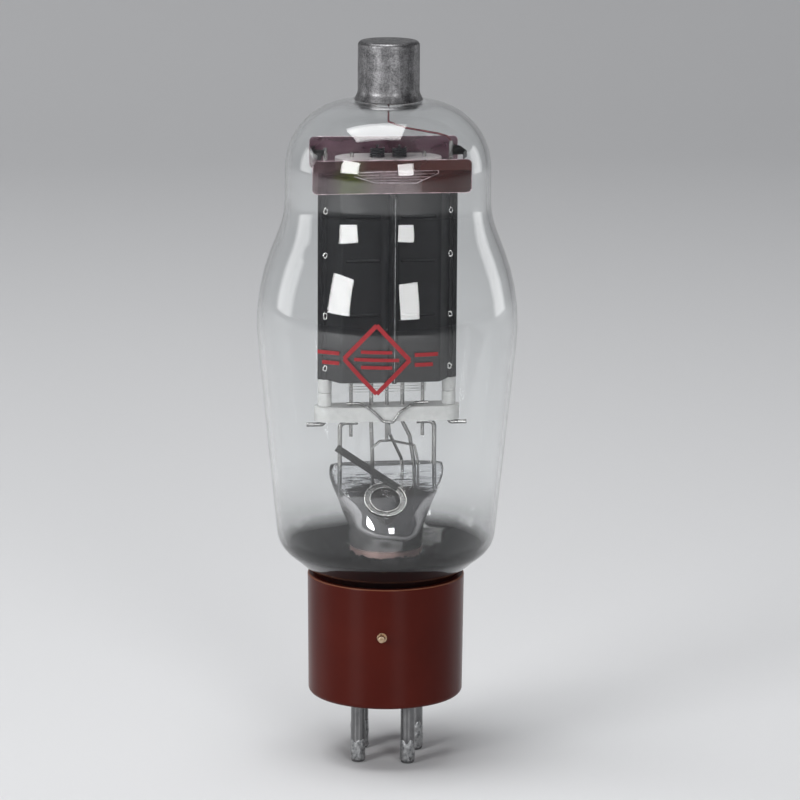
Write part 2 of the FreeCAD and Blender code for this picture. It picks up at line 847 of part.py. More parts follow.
def grid_bridle():
    """Bent wire that joins the grid rods and drops in front of the lower bar."""
    back = -(grid_rod_radius + bridle_radius)
    over = bar_top + bridle_radius + bridle_rise
    end = grid_rod_half_spacing + bridle_overhang
    turn = grid_rod_half_spacing * bridle_end_ratio
    points = [Vector(-end, back, over), Vector(-turn, back, over)]
    points += [Vector(grid_rod_half_spacing * share, -bridle_depth, bar_top - drop)
               for share, drop in zip(bridle_bend_ratios, bridle_drops)]
    points += [Vector(turn, back, over), Vector(end, back, over)]
    return bent_wire(points, bridle_bend, bridle_radius)


def grid_lead():
    """Wire from the bridle's low point down into the press."""
    top = bar_bottom - bridle_radius - grid_lead_gap
    points = [
        Vector(0, -bridle_depth, top),
        Vector(grid_lead_side, grid_lead_in - bridle_depth, top - grid_lead_fall),
        Vector(grid_seal, 0, press_top + grid_lead_rise),
        Vector(grid_seal, 0, seal_level),
    ]
    return bent_wire(points, grid_lead_bend, grid_lead_radius)


def filament():
    """One wire in the shape of an M, hung on the two hooks."""
    inner = filament_top_half_span - filament_loop_half_width
    outer = filament_top_half_span + filament_loop_half_width
    right = [
        Vector(filament_foot_half_width, 0, filament_bottom + filament_foot_rise),
        Vector(inner, 0, filament_top),
        Vector(outer, 0, filament_top),
        Vector(filament_half_span, 0, filament_bottom),
    ]
    left = [Vector(-v.x, 0, v.z) for v in reversed(right)]
    bends = [filament_bend, filament_bend, filament_top_bend]
    path = Part.Wire(rounded_path(left + right, bends + bends[::-1]))
    section = Part.Wire(Part.Circle(left[0], left[1] - left[0], filament_radius).toShape())
    return path.makePipeShell([section], True, False)


def filament_hook(side):
    """Wire hook that runs through the spring and pulls the filament tight."""
    x = side * filament_top_half_span
    under = filament_top - filament_radius - hook_radius
    over = spring_seat_level + spring_height + hook_radius
    points = [
        Vector(x, -spring_radius, over), Vector(x, hook_offset, over), Vector(x, hook_offset, under),
        Vector(x, -hook_offset, under), Vector(x, -hook_offset, under + hook_return),
    ]
    return bent_wire(points, hook_bend, hook_radius)


def filament_spring(side):
    """Short compression spring seated in the upper bar."""
    x = side * filament_top_half_span
    corner = spring_wire_radius * math.sqrt(2)
    low = spring_seat_level + corner
    high = spring_seat_level + spring_height - corner
    count = spring_turns * spring_steps_per_turn
    points = []
    for step in range(count + 1):
        angle = 2 * math.pi * step / spring_steps_per_turn
        points.append(Vector(x + spring_radius * math.cos(angle), spring_radius * math.sin(angle),
                             low + (high - low) * step / count))
    return square_wire(points, spring_wire_radius)


def filament_lead_left():
    x = -filament_half_span
    points = [
        Vector(x, 0, filament_bottom),
        Vector(x, 0, bar_bottom - lead_left_drop),
        Vector(filament_seal_left, 0, press_top + lead_left_rise),
        Vector(filament_seal_left, 0, seal_level),
    ]
    return bent_wire(points, lead_left_bend, lead_radius)


def filament_lead_right():
    x = filament_half_span
    upper, lower = lead_right_drops
    points = [
        Vector(x, 0, filament_bottom),
        Vector(x, 0, bar_bottom - upper),
        Vector(x + lead_right_side, 0, bar_bottom - lower),
        Vector(filament_seal_right, 0, press_top + lead_right_rise),
        Vector(filament_seal_right, 0, seal_level),
    ]
    return bent_wire(points, lead_right_bend, lead_radius)


def centre_post():
    """Upright that holds the middle of the filament."""
    return rod(post_radius, link_level + link_radius, filament_bottom)


def centre_support():
    """Arched wire that carries the post, with both feet in the press."""
    y = -link_foot_depth
    shoulder = link_level - link_shoulder_drop
    points = [Vector(link_foot_left, y, seal_level), Vector(link_foot_left, y, shoulder)]
    points += [Vector(x, y * share, link_level - drop)
               for x, share, drop in zip(link_bends, link_depth_ratios, link_drops)]
    points += [Vector(link_foot_right, y, press_top + link_foot_rise)]
    points += [Vector(link_foot_right, y, seal_level)]
    return bent_wire(points, link_bend, link_radius)


def support_wire(side):
    """Wire from the press to the lower bar, welded beside the grid rod."""
    x = side * support_half_spacing
    level = bar_bottom - support_radius
    end = side * (grid_rod_half_spacing - support_inset)
    points = [Vector(x, -support_depth, seal_level), Vector(x, -support_depth, level),
              Vector(end, -support_depth, level)]
    return bent_wire(points, support_bend, support_radius)


def getter_ring():
    """Open-topped trough bent into a ring and tilted to the front."""
    outer = getter_outer_radius
    inner = getter_outer_radius - getter_band
    rim = getter_thickness / 2
    floor = rim - getter_trough
    points = [(inner, -rim), (outer, -rim), (outer, rim), (outer - getter_wall, rim),
              (outer - getter_wall, floor), (inner + getter_wall, floor), (inner + getter_wall, rim),
              (inner, rim)]
    outline = [upright(*point) for point in points]
    ring = turned(Part.Face(Part.makePolygon(outline + outline[:1])))
    ring.rotate(Vector(0, 0, 0), Vector(1, 0, 0), getter_tilt_deg)
    ring.translate(Vector(getter_side, -getter_forward, press_top - getter_drop))
    return ring


def getter_strap():
    """Flat strip from the left support wire to the ring."""
    start = Vector(-support_half_spacing - strap_overhang, -support_depth - support_radius,
                   press_top + strap_rise)
    tilt = math.radians(getter_tilt_deg)
    spot = math.radians(strap_spot_deg)
    reach = getter_outer_radius - getter_band / 2
    lift = getter_thickness / 2 + strap_lift
    end = Vector(getter_side + reach * math.cos(spot),
                 -getter_forward + reach * math.sin(spot) * math.cos(tilt) - lift * math.sin(tilt),
                 press_top - getter_drop + reach * math.sin(spot) * math.sin(tilt) + lift * math.cos(tilt))
    along = unit(end - start)
    across = unit(along.cross(Vector(0, 1, 0)))
    through = unit(along.cross(across))
    if through.y > 0:
        through = through * -1
    half = strap_width / 2
    corners = [start + across * half, end + across * half, end - across * half, start - across * half]
    return Part.Face(Part.makePolygon(corners + corners[:1])).extrude(through * strap_sheet)


def base_wire(x, pin_name):
    """Wire from the press seal down into a pin's bore."""
    centre = pin_places()[pin_name][0]
    points = [
        Vector(x, 0, seal_level), Vector(x, 0, press_bottom - base_wire_straight),
        Vector(centre.x, centre.y, floor_top + base_wire_rise), Vector(centre.x, centre.y, solder_height),
    ]
    return bent_wire(points, base_wire_bend, base_wire_radius)


def build():
    """All pieces by name, in the assembled place."""
    nodes = {
        "glass_bulb": glass_bulb(),
        "glass_stem": glass_stem(),
        "exhaust_tube": exhaust_tube(),
        "top_cap": top_cap(),
        "cap_cement": cap_cement(),
        "cap_lead": cap_lead(),
        "base_shell": base_shell(),
        "base_cement": base_cement(),
        "bayonet_pin": bayonet_pin(),
        "anode_rod_left": anode_rod(-1, rod_top_rise_left),
        "anode_rod_right": anode_rod(1, rod_top_rise_right),
        "lower_insulator": lower_insulator(),
        "upper_insulator": upper_insulator(),
        "mica_spacer": mica_spacer(),
        "front_mica_shield": mica_shield(-front_shield_depth, rod_half_spacing + front_shield_overhang,
                                         front_shield_bottom),
        "rear_mica_shield": mica_shield(rear_shield_depth, rod_half_spacing + rear_shield_overhang,
                                        rear_shield_bottom),
        "grid_winding": grid_winding(),
        "grid_bridle": grid_bridle(),
        "grid_lead": grid_lead(),
        "filament": filament(),
        "filament_lead_left": filament_lead_left(),
        "filament_lead_right": filament_lead_right(),
        "centre_post": centre_post(),
        "centre_support": centre_support(),
        "getter_ring": getter_ring(),
        "getter_strap": getter_strap(),
        "base_wire_left": base_wire(filament_seal_left, "rear_left"),
        "base_wire_right": base_wire(filament_seal_right, "rear_right"),
        "base_wire_grid": base_wire(grid_seal, "front_right"),
    }
    front = anode_front()
    nodes["anode_front"] = front
    nodes["anode_back"] = anode_back(front)
    for name, (centre, radius) in pin_places().items():
        nodes["base_pin_" + name] = base_pin(centre, radius)
        nodes["pin_solder_" + name] = pin_solder(centre, radius)
    for side, word in ((-1, "left"), (1, "right")):
        for index in range(bush_count):
            nodes["bush_%s_%d" % (word, index + 1)] = bush(side, index)
        nodes["mica_clip_" + word] = mica_clip(side)
        nodes["grid_rod_" + word] = grid_rod(side)
        nodes["filament_hook_" + word] = filament_hook(side)
        nodes["filament_spring_" + word] = filament_spring(side)
        nodes["support_wire_" + word] = support_wire(side)
    return nodes


os.makedirs("parts", exist_ok=True)
for node_name, node_shape in build().items():
    node_shape.exportStep("parts/%s.step" % node_name)
    print(node_name, "solids", len(node_shape.Solids), "valid", node_shape.isValid(),
          "volume %.3f" % node_shape.Volume)
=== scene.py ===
import bmesh
import bpy
import math
import random
from mathutils import Matrix, Vector, noise


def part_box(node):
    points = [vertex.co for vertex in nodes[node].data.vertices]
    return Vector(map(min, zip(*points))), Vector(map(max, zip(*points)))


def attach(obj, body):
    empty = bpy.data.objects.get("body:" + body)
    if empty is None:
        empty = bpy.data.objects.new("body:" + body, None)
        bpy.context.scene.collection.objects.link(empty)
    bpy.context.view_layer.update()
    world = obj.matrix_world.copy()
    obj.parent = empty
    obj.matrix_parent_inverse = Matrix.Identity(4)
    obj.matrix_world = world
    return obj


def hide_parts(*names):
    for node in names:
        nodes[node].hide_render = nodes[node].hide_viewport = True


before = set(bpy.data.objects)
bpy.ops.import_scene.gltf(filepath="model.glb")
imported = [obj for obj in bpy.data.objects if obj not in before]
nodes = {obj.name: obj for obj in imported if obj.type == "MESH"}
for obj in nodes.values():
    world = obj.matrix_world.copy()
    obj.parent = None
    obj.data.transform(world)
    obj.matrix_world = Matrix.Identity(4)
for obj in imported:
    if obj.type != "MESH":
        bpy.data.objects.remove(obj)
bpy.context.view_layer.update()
MM = 0.001
PHOTO_WIDTH = 800
PHOTO_AZIMUTH = -7.5


# Sizes of the object, read from the frame

base_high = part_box("base_shell")[1]
anode_low, anode_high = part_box("anode_front")
upper_bar_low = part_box("upper_insulator")[0]
base_top = base_high.z / MM


# Small helpers

RUN_STEP = 1.0
ARC_STEP = 0.09


def link(obj):
    bpy.context.scene.collection.objects.link(obj)
    return obj


def offset_path(points, radii, distance):
    """A flat path moved to its left, with radii that keep the corners concentric."""
    steps = []
    for a, b in zip(points, points[1:]):
        length = math.hypot(b[0] - a[0], b[1] - a[1])
        steps.append((-(b[1] - a[1]) / length, (b[0] - a[0]) / length))
    moved = [(points[0][0] + steps[0][0] * distance, points[0][1] + steps[0][1] * distance)]
    new_radii = []
    for point, one, two, radius in zip(points[1:], steps, steps[1:], radii):
        share = 1 + one[0] * two[0] + one[1] * two[1]
        moved.append((point[0] + (one[0] + two[0]) / share * distance,
                      point[1] + (one[1] + two[1]) / share * distance))
        left = one[0] * two[1] - one[1] * two[0] > 0
        new_radii.append(radius - distance if left else radius + distance)
    moved.append((points[-1][0] + steps[-1][0] * distance, points[-1][1] + steps[-1][1] * distance))
    return moved, new_radii


def sampled_path(points, radii):
    """Points along a path whose inner corners are rounded: short runs and arcs."""
    out = [Vector(points[0])]

    def go_to(target):
        start = out[-1].copy()
        count = max(1, int((target - start).length / RUN_STEP))
        for i in range(1, count + 1):
            out.append(start.lerp(target, i / count))

    for before, corner, after, radius in zip(points, points[1:], points[2:], radii):
        corner = Vector(corner)
        back = (Vector(before) - corner).normalized()
        ahead = (Vector(after) - corner).normalized()
        half = back.angle(ahead) / 2
        first = corner + back * (radius / math.tan(half))
        centre = corner + (back + ahead).normalized() * (radius / math.sin(half))
        go_to(first)
        sweep = math.pi - 2 * half
        arm = first - centre
        other = corner + ahead * (radius / math.tan(half)) - centre
        count = max(3, int(sweep / ARC_STEP))
        for i in range(1, count + 1):
            t = i / count
            out.append(centre + (arm * math.sin((1 - t) * sweep) + other * math.sin(t * sweep))
                       / math.sin(sweep))
    go_to(Vector(points[-1]))
    return out


def lathe(name, outline, segments, wobble, closed=True):
    """Turned mesh of (radius, height) points in millimetres."""
    verts = []
    faces = []
    count = len(outline)
    for ring in range(segments):
        angle = 2 * math.pi * ring / segments
        for point in outline:
            radius, height = wobble(point[0], point[1], angle)
            verts.append((radius * math.cos(angle) * MM, radius * math.sin(angle) * MM, height * MM))
    steps = count if closed else count - 1
    for ring in range(segments):
        here = ring * count
        there = (ring + 1) % segments * count
        for i in range(steps):
            j = (i + 1) % count
            faces.append((here + i, there + i, there + j, here + j))
    mesh = bpy.data.meshes.new(name)
    mesh.from_pydata(verts, [], faces)
    mesh.validate()
    mesh.update()
    mesh.shade_smooth()
    return link(bpy.data.objects.new(name, mesh))


def weld_axis(obj):
    """Joins the points that meet on the axis and drops the empty faces there."""
    bm = bmesh.new()
    bm.from_mesh(obj.data)
    bmesh.ops.remove_doubles(bm, verts=bm.verts, dist=1e-6)
    bmesh.ops.recalc_face_normals(bm, faces=bm.faces)
    bm.to_mesh(obj.data)
    bm.free()
    return obj


def wire(name, points, radius, sides=3, cyclic=False):
    """Round wire through points given in millimetres."""
    curve = bpy.data.curves.new(name, "CURVE")
    curve.dimensions = "3D"
    curve.bevel_depth = radius * MM
    curve.bevel_resolution = sides
    curve.use_fill_caps = True
    spline = curve.splines.new("POLY")
    spline.points.add(len(points) - 1)
    for slot, point in zip(spline.points, points):
        slot.co = (point[0] * MM, point[1] * MM, point[2] * MM, 1)
    spline.use_cyclic_u = cyclic
    return link(bpy.data.objects.new(name, curve))


def as_mesh(obj):
    """Turns a curve object into a mesh object of the same name."""
    name = obj.name
    mesh = bpy.data.meshes.new_from_object(obj.evaluated_get(bpy.context.evaluated_depsgraph_get()))
    bpy.data.objects.remove(obj)
    mesh.name = name
    mesh.shade_smooth()
    return link(bpy.data.objects.new(name, mesh))


def dress(obj, material):
    obj.data.materials.clear()
    obj.data.materials.append(material)
    return obj


def keep(obj, material, slot, *replaced):
    """Gives a new piece its material, its body and the nodes it stands for."""
    dress(obj, material)
    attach(obj, "root")
    if replaced:
        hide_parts(*replaced)
    return obj


# Materials

class Paint:
    """A material with one Principled shader and short helpers for its inputs."""

    def __init__(self, name, color, roughness, metallic=0.0, **inputs):
        self.mat = bpy.data.materials.new(name)
        self.mat.use_nodes = True
        self.tree = self.mat.node_tree
        self.shader = self.tree.nodes["Principled BSDF"]
        self.out = self.tree.nodes["Material Output"]
        self.shader.inputs["Base Color"].default_value = (*color, 1)
        self.shader.inputs["Roughness"].default_value = roughness
        self.shader.inputs["Metallic"].default_value = metallic
        for key, value in inputs.items():
            self.shader.inputs[key.replace("_", " ")].default_value = value

    def node(self, kind, **settings):
        made = self.tree.nodes.new(kind)
        for key, value in settings.items():
            if key in made.inputs.keys():
                made.inputs[key].default_value = value
            else:
                setattr(made, key, value)
        return made

    def join(self, source, target):
        self.tree.links.new(source, target)

    def split(self):
        coords = self.node("ShaderNodeTexCoord")
        split = self.node("ShaderNodeSeparateXYZ")
        self.join(coords.outputs["Object"], split.inputs["Vector"])
        return split.outputs

    def height(self):
        """Height over the pin tips, in metres."""
        return self.split()["Z"]

    def place(self, scale=(1, 1, 1)):
        coords = self.node("ShaderNodeTexCoord")
        mapping = self.node("ShaderNodeMapping")
        mapping.inputs["Scale"].default_value = scale
        self.join(coords.outputs["Object"], mapping.inputs["Vector"])
        return mapping.outputs["Vector"]

    def noise(self, scale, detail=4.0, rough=0.55, stretch=(1, 1, 1)):
        tex = self.node("ShaderNodeTexNoise")
        tex.inputs["Scale"].default_value = scale
        tex.inputs["Detail"].default_value = detail
        tex.inputs["Roughness"].default_value = rough
        self.join(self.place(stretch), tex.inputs["Vector"])
        return tex.outputs["Fac"]

    def ramp(self, source, stops):
        ramp = self.node("ShaderNodeValToRGB")
        points = ramp.color_ramp.elements
        while len(points) < len(stops):
            points.new(0.5)
        for point, (where, color) in zip(points, stops):
            point.position = where
            point.color = (*color, 1)
        self.join(source, ramp.inputs["Fac"])
        return ramp.outputs["Color"]

    def span(self, source, low, high, to_low, to_high):
        fit = self.node("ShaderNodeMapRange")
        for key, value in (("From Min", low), ("From Max", high), ("To Min", to_low), ("To Max", to_high)):
            fit.inputs[key].default_value = value
        self.join(source, fit.inputs["Value"])
        return fit.outputs["Result"]

    def math(self, operation, a, b):
        made = self.node("ShaderNodeMath", operation=operation)
        for socket, value in zip(made.inputs, (a, b)):
            if isinstance(value, (int, float)):
                socket.default_value = value
            else:
                self.join(value, socket)
        return made.outputs["Value"]

    def mottle(self, scale, color_a, color_b, low=0.35, high=0.65, detail=4.0, stretch=(1, 1, 1)):
        fac = self.noise(scale, detail, stretch=stretch)
        self.join(self.ramp(fac, [(low, color_a), (high, color_b)]), self.shader.inputs["Base Color"])

    def rough(self, scale, low, high, detail=3.0):
        amount = self.span(self.noise(scale, detail), 0.3, 0.7, low, high)
        self.join(amount, self.shader.inputs["Roughness"])

    def bump(self, source, strength, distance):
        bump = self.node("ShaderNodeBump")
        bump.inputs["Strength"].default_value = strength
        bump.inputs["Distance"].default_value = distance * MM
        self.join(source, bump.inputs["Height"])
        self.join(bump.outputs["Normal"], self.shader.inputs["Normal"])

    def shift(self, swing, scale, detail=4.0, rough=0.55, stretch=(1, 1, 1)):
        """Noise as a shift to either side, whose whole swing is given in millimetres."""
        centred = self.math("SUBTRACT", self.noise(scale, detail, rough, stretch), 0.5)
        return self.math("MULTIPLY", centred, swing * MM)

    def blend(self, amount, below, above):
        """Colours the surface with a mix of a socket and a plain colour."""
        mix = self.node("ShaderNodeMix", data_type="RGBA")
        self.join(amount, mix.inputs["Factor"])
        colors = [socket for socket in mix.inputs if socket.type == "RGBA"]
        self.join(below, colors[0])
        colors[1].default_value = (*above, 1)
        result = next(socket for socket in mix.outputs if socket.type == "RGBA")
        self.join(result, self.shader.inputs["Base Color"])

    def lamps_pass(self, tint):
        """Lets light from lamps reach what is behind this glass."""
        return self.see_through(self.node("ShaderNodeLightPath").outputs["Is Shadow Ray"], tint)

    def see_through(self, amount, tint=(1, 1, 1)):
        """Mixes in plain transparency by a number or a socket."""
        clear = self.node("ShaderNodeBsdfTransparent")
        clear.inputs["Color"].default_value = (*tint, 1)
        mix = self.node("ShaderNodeMixShader")
        if isinstance(amount, (int, float)):
            mix.inputs["Fac"].default_value = amount
        else:
            self.join(amount, mix.inputs["Fac"])
        self.join(self.shader.outputs["BSDF"], mix.inputs[1])
        self.join(clear.outputs["BSDF"], mix.inputs[2])
        self.join(mix.outputs["Shader"], self.out.inputs["Surface"])
        return self


def clear_glass():
    paint = Paint("clear_glass", (0.97, 0.98, 0.98), 0.0, Transmission_Weight=1.0, IOR=1.5)
    paint.bump(paint.noise(70, 2.0), 0.03, 0.4)
    return paint.lamps_pass((0.93, 0.94, 0.94)).mat


def stem_glass():
    paint = Paint("stem_glass", (0.86, 0.87, 0.89), 0.03, Transmission_Weight=1.0, IOR=1.5)
    paint.bump(paint.noise(300, 3.0, stretch=(0.5, 1, 4.0)), 0.6, 0.5)
    return paint.lamps_pass((0.8, 0.8, 0.8)).mat


def getter_film(name, dense, light, end, color, rough=0.03):
    """Dark metal film: solid up to one level, then light smoke that ends higher up."""
    paint = Paint(name, color, rough)
    paint.shader.inputs["Specular IOR Level"].default_value = 0.1
    level = paint.math("ADD", paint.height(), paint.shift(light - dense, 45, 1.0))
    way = paint.span(level, dense * MM, end * MM, 0.0, 1.0)
    bend = (light - dense) / (end - dense)
    clear = paint.ramp(way, [(0.0, (0, 0, 0)), (bend, (0.72,) * 3), (bend * 2.2, (0.86,) * 3),
                             (1.0, (1, 1, 1))])
    return paint.see_through(clear).mat


def stem_mirror(torn_level, top_level):
    """Bright film on the stem with a torn, coppery lower edge and a sharp upper edge, with painted light
    across it: partly diffuse and lighter over the left and middle, a darker pure mirror at the right.
    """
    paint = Paint("stem_mirror", (0.72, 0.7, 0.72), 0.03, 1.0)
    torn = paint.math("ADD", paint.height(), paint.shift(5.5, 330, 5.0, 0.7))
    under = paint.span(torn, (torn_level - 0.05) * MM, (torn_level + 0.05) * MM, 1.0, 0.0)
    soft = paint.math("ADD", paint.height(), paint.shift(3, 300, 4.0, stretch=(0.4, 1, 2)))
    over = paint.span(soft, (top_level - 0.3) * MM, (top_level + 0.5) * MM, 0.0, 0.9)
    copper = paint.span(paint.height(), (torn_level + 1.1) * MM, (torn_level + 1.9) * MM, 0.0, 1.0)
    tints = [(0.0, (0.8, 0.56, 0.52)), (0.7, (0.6, 0.48, 0.48)), (0.9, (0.5, 0.49, 0.5))]
    paint.join(paint.ramp(copper, tints), paint.shader.inputs["Base Color"])
    paint.join(paint.span(copper, 0.0, 1.0, 0.4, 0.03), paint.shader.inputs["Roughness"])
    # Painted light and shade: less metallic, so lighter, towards -X and a pure mirror, so darker, towards
    # +X, broken up by noise.
    cloud = paint.math("MULTIPLY", paint.noise(260, 2.0), 9 * MM)
    shade = paint.math("ADD", paint.split()["X"], cloud)
    paint.join(paint.span(shade, 1.0 * MM, 6.5 * MM, 0.84, 1.0), paint.shader.inputs["Metallic"])
    return paint.see_through(paint.math("MAXIMUM", under, over)).mat


def painted_notch_highlight():
    """Painted highlight: a faint bright line, broken up along its length."""
    paint = Paint("painted_notch_highlight", (0.5, 0.44, 0.48), 0.3)
    return paint.see_through(paint.span(paint.noise(700, 4.0), 0.3, 0.65, 0.85, 0.2)).mat


def charcoal_sheet():
    paint = Paint("charcoal_sheet", (0.03, 0.03, 0.034), 0.5, 0.0)
    paint.shader.inputs["Specular IOR Level"].default_value = 0.14
    paint.mottle(500, (0.008, 0.008, 0.009), (0.0125, 0.0128, 0.0142), 0.3, 0.75, 5.0, (1, 1, 0.4))
    paint.rough(300, 0.34, 0.46)
    paint.bump(paint.noise(6000, 3.0), 0.15, 0.02)
    return paint.mat


def nickel(name, tone, rough=0.22, drawn=0.85):
    """Nickel, by default drawn: its fine marks stretch the highlights along the wire."""
    paint = Paint(name, (tone, tone * 0.985, tone * 0.97), rough, 1.0, Anisotropic=drawn,
                  Anisotropic_Rotation=0.25)
    paint.mottle(260, (tone * 0.75,) * 3, (tone * 1.15, tone * 1.13, tone * 1.1), 0.3, 0.7)
    paint.rough(400, rough * 0.75, rough * 1.3)
    return paint.mat


def white_ceramic():
    paint = Paint("white_ceramic", (0.7, 0.7, 0.69), 0.6)
    paint.shader.inputs["Specular IOR Level"].default_value = 0.3
    paint.mottle(900, (0.34, 0.338, 0.335), (0.41, 0.41, 0.407), 0.3, 0.7)
    paint.bump(paint.noise(9000, 2.0), 0.2, 0.02)
    return paint.mat


def along_x(paint, half_mm):
    """Share of the way across the object, from -X to +X."""
    x = paint.math("ADD", paint.split()["X"], paint.shift(9, 180, 5.0))
    return paint.span(x, -half_mm * MM, half_mm * MM, 0.0, 1.0)


def front_mica():
    """Thin brown sheet: purple at the left, olive beside it, milky in the middle, dark red at the right."""
    paint = Paint("front_mica", (0.05, 0.02, 0.02), 0.08)
    paint.shader.inputs["Specular IOR Level"].default_value = 0.12
    way = along_x(paint, 17.4)
    over_bar = paint.span(paint.height(), upper_bar_low.z + 0.1 * MM, upper_bar_low.z + 0.5 * MM, 0.0, 1.0)
    upper = paint.math("MULTIPLY", paint.span(way, 0.3, 0.36, 0.25, 1.0), over_bar)
    lower_tint = paint.ramp(way, [
        (0.0, (0.07, 0.045, 0.052)), (0.15, (0.055, 0.035, 0.04)), (0.21, (0.042, 0.05, 0.008)),
        (0.3, (0.055, 0.062, 0.014)), (0.4, (0.2, 0.16, 0.17)), (0.58, (0.2, 0.155, 0.16)),
        (0.72, (0.035, 0.0085, 0.0075)), (1.0, (0.022, 0.006, 0.0055)),
    ])
    paint.blend(upper, lower_tint, (0.05, 0.018, 0.016))
    amount = paint.ramp(way, [
        (0.0, (0.45,) * 3), (0.16, (0.4,) * 3), (0.22, (0.3,) * 3), (0.34, (0.4,) * 3), (0.44, (0.62,) * 3),
        (0.6, (0.6,) * 3), (0.7, (0.12,) * 3), (1.0, (0.08,) * 3),
    ])
    thinner = paint.math("MULTIPLY", amount, paint.span(upper, 0.0, 1.0, 1.0, 0.45))
    return paint.see_through(thinner, (0.8, 0.68, 0.7)).mat


def rear_mica():
    paint = Paint("rear_mica", (0.05, 0.02, 0.028), 0.1)
    paint.mottle(170, (0.035, 0.012, 0.019), (0.11, 0.06, 0.08), 0.34, 0.68, 6.0, (0.7, 1, 2))
    amount = paint.span(paint.noise(220, 5.0), 0.3, 0.75, 0.1, 0.28)
    return paint.see_through(amount, (0.55, 0.4, 0.45)).mat


def clear_mica():
    paint = Paint("clear_mica", (0.3, 0.22, 0.24), 0.1)
    return paint.see_through(0.94, (0.98, 0.96, 0.965)).mat


def mica_edge_highlight():
    """Painted highlight for the cut edges of the mica: pale pink lines, broken up by noise."""
    paint = Paint("mica_edge_highlight", (0.5, 0.38, 0.42), 0.3, 0.5)
    return paint.see_through(paint.span(paint.noise(500, 4.0), 0.35, 0.6, 0.75, 0.1)).mat


def red_resin():
    """Moulded resin: deep red-brown, lighter along the top outer edge of the rim."""
    paint = Paint("red_resin", (0.062, 0.006, 0.003), 0.3, Anisotropic=0.85, Anisotropic_Rotation=0.25)
    paint.shader.inputs["Specular IOR Level"].default_value = 0.12
    body = paint.ramp(paint.noise(60, 3.0), [(0.3, (0.056, 0.0055, 0.0028)), (0.7, (0.07, 0.0075, 0.0038))])
    spot = paint.split()
    squares = [paint.math("MULTIPLY", spot[axis], spot[axis]) for axis in ("X", "Y")]
    radius = paint.math("SQRT", paint.math("ADD", *squares), 0)
    top = paint.span(spot["Z"], (base_top - 0.24) * MM, (base_top - 0.14) * MM, 0.0, 1.0)
    outermost = paint.span(radius, base_high.x - 0.5 * MM, base_high.x - 0.4 * MM, 0.0, 1.0)
    paint.blend(paint.math("MULTIPLY", top, outermost), body, (0.26, 0.1, 0.06))
    return paint.mat


def tinned_cap():
    """Dull tinned sheet: fine grain, cloudy patches, small pits and faint scuffs."""
    paint = Paint("tinned_cap", (0.3, 0.3, 0.305), 0.42, 1.0)
    clouds = paint.math("MULTIPLY", paint.noise(380, 5.0), 0.4)
    grain = paint.math("MULTIPLY", paint.noise(3000, 6.0), 0.45)
    scuffs = paint.math("MULTIPLY", paint.noise(1200, 3.0, stretch=(1, 1, 0.3)), 0.15)
    blend = paint.math("ADD", clouds, paint.math("ADD", grain, scuffs))
    tints = [(0.38, (0.08, 0.08, 0.083)), (0.5, (0.19, 0.188, 0.193)), (0.63, (0.32, 0.318, 0.325))]
    paint.join(paint.ramp(blend, tints), paint.shader.inputs["Base Color"])
    paint.rough(900, 0.34, 0.52, 6.0)
    paint.bump(paint.noise(2200, 6.0), 0.5, 0.07)
    return paint.mat


def plain_cement():
    paint = Paint("tan_cement", (0.2, 0.1, 0.05), 0.8)
    paint.mottle(1500, (0.13, 0.06, 0.03), (0.26, 0.14, 0.08))
    return paint.mat


def worn_brass():
    paint = Paint("worn_brass", (0.4, 0.27, 0.14), 0.38, 1.0)
    paint.mottle(2500, (0.34, 0.23, 0.14), (0.6, 0.46, 0.33))
    return paint.mat


def pin_plate():
    paint = Paint("pin_plate", (0.4, 0.4, 0.41), 0.24, 1.0, Anisotropic=0.9, Anisotropic_Rotation=0.25)
    paint.mottle(260, (0.15, 0.15, 0.153), (0.21, 0.21, 0.213))
    return paint.mat


def rough_solder():
    paint = Paint("rough_solder", (0.4, 0.41, 0.42), 0.35, 1.0)
    paint.mottle(1200, (0.2, 0.205, 0.21), (0.52, 0.525, 0.53))
    paint.bump(paint.noise(1700, 5.0), 0.7, 0.15)
    return paint.mat


def dark_tungsten():
    paint = Paint("dark_tungsten", (0.08, 0.08, 0.085), 0.45, 1.0)
    paint.mottle(1500, (0.04, 0.04, 0.045), (0.12, 0.12, 0.125))
    return paint.mat


def black_spring():
    paint = Paint("black_spring", (0.03, 0.03, 0.033), 0.35, 0.6)
    paint.mottle(2500, (0.01, 0.01, 0.012), (0.045, 0.045, 0.05))
    return paint.mat


def red_lead():
    paint = Paint("red_lead", (0.12, 0.03, 0.035), 0.3, 0.6)
    paint.mottle(700, (0.07, 0.012, 0.018), (0.2, 0.07, 0.08), 0.35, 0.65)
    return paint.mat


# Painted highlight for the fins' folded edges: pale metal, broken up by noise.
def painted_fin_highlight():
    paint = Paint("painted_fin_highlight", (0.42, 0.42, 0.43), 0.35, 1.0)
    amount = paint.span(paint.noise(600, 4.0), 0.35, 0.6, 0.65, 0.1)
    return paint.see_through(amount).mat


def red_ink():
    paint = Paint("red_ink", (0.3, 0.008, 0.015), 0.45)
    paint.mottle(1800, (0.24, 0.006, 0.011), (0.34, 0.01, 0.018))
    return paint.mat


